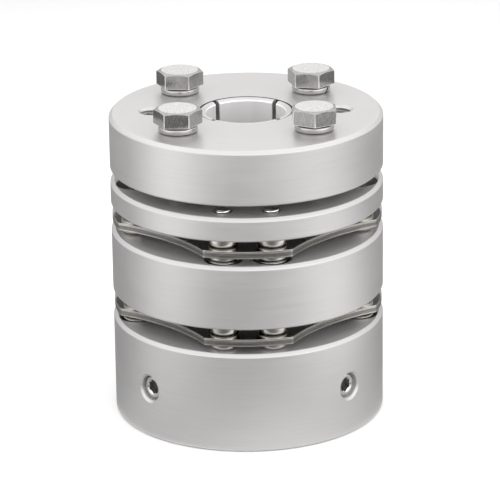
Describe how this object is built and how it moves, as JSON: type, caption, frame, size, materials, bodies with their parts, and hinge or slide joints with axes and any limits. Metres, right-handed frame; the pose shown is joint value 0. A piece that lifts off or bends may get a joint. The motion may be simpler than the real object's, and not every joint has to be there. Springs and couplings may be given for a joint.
{
  "type": "disc coupling",
  "caption": "Zero-backlash shaft coupling with two flexible steel disc packs, a taper clamp-ring hub and a set-screw hub, in satin aluminium.",
  "frame": {"origin": "centre of the set-screw hub's free end face, on which the coupling stands", "axes": "+Z along the shafts, from the set-screw hub to the clamp-ring hub; -Y is the front, to which the two set screws stand at 47 degrees on each side; +X is to the right"},
  "size_m": [0.065, 0.065, 0.0796],
  "materials": {
    "hub_aluminium": "clear anodised, fine blasted",
    "spacer_aluminium": "clear anodised, fine blasted",
    "flange_aluminium": "clear anodised, fine blasted",
    "ring_aluminium": "clear anodised, fine blasted",
    "spring_steel": "cold rolled, bright",
    "bush_steel": "turned, bright",
    "disc_bolt_steel": "bright steel",
    "stainless_bolt": "stainless, cold forged",
    "stainless_washer": "stainless, rolled wire",
    "set_screw_steel": "stainless, turned"
  },
  "bodies": {
    "root": {"centre_spacer": "spacer_aluminium", "clamp_bolt_back_left": "stainless_bolt", "clamp_bolt_back_right": "stainless_bolt", "clamp_bolt_front_left": "stainless_bolt", "clamp_bolt_front_right": "stainless_bolt", "clamp_ring": "ring_aluminium", "lower_bushes_above_back": "bush_steel", "lower_bushes_above_front": "bush_steel", "lower_bushes_above_left": "bush_steel", "lower_bushes_above_right": "bush_steel", "lower_bushes_below_back": "bush_steel", "lower_bushes_below_front": "bush_steel", "lower_bushes_below_left": "bush_steel", "lower_bushes_below_right": "bush_steel", "lower_disc_bolt_back_1": "disc_bolt_steel", "lower_disc_bolt_back_2": "disc_bolt_steel", "lower_disc_bolt_front_1": "disc_bolt_steel", "lower_disc_bolt_front_2": "disc_bolt_steel", "lower_disc_bolt_left_1": "disc_bolt_steel", "lower_disc_bolt_left_2": "disc_bolt_steel", "lower_disc_bolt_right_1": "disc_bolt_steel", "lower_disc_bolt_right_2": "disc_bolt_steel", "lower_lamination_1": "spring_steel", "lower_lamination_2": "spring_steel", "lower_lamination_3": "spring_steel", "lower_lamination_4": "spring_steel", "lower_lamination_5": "spring_steel", "lower_lamination_6": "spring_steel", "set_screw_hub": "hub_aluminium", "set_screw_left": "set_screw_steel", "set_screw_right": "set_screw_steel", "spring_washer_back_left": "stainless_washer", "spring_washer_back_right": "stainless_washer", "spring_washer_front_left": "stainless_washer", "spring_washer_front_right": "stainless_washer", "taper_hub": "flange_aluminium", "upper_bushes_above_back": "bush_steel", "upper_bushes_above_front": "bush_steel", "upper_bushes_above_left": "bush_steel", "upper_bushes_above_right": "bush_steel", "upper_bushes_below_back": "bush_steel", "upper_bushes_below_front": "bush_steel", "upper_bushes_below_left": "bush_steel", "upper_bushes_below_right": "bush_steel", "upper_disc_bolt_back_1": "disc_bolt_steel", "upper_disc_bolt_back_2": "disc_bolt_steel", "upper_disc_bolt_front_1": "disc_bolt_steel", "upper_disc_bolt_front_2": "disc_bolt_steel", "upper_disc_bolt_left_1": "disc_bolt_steel", "upper_disc_bolt_left_2": "disc_bolt_steel", "upper_disc_bolt_right_1": "disc_bolt_steel", "upper_disc_bolt_right_2": "disc_bolt_steel", "upper_lamination_1": "spring_steel", "upper_lamination_2": "spring_steel", "upper_lamination_3": "spring_steel", "upper_lamination_4": "spring_steel", "upper_lamination_5": "spring_steel", "upper_lamination_6": "spring_steel"}
  },
  "joints": []
}
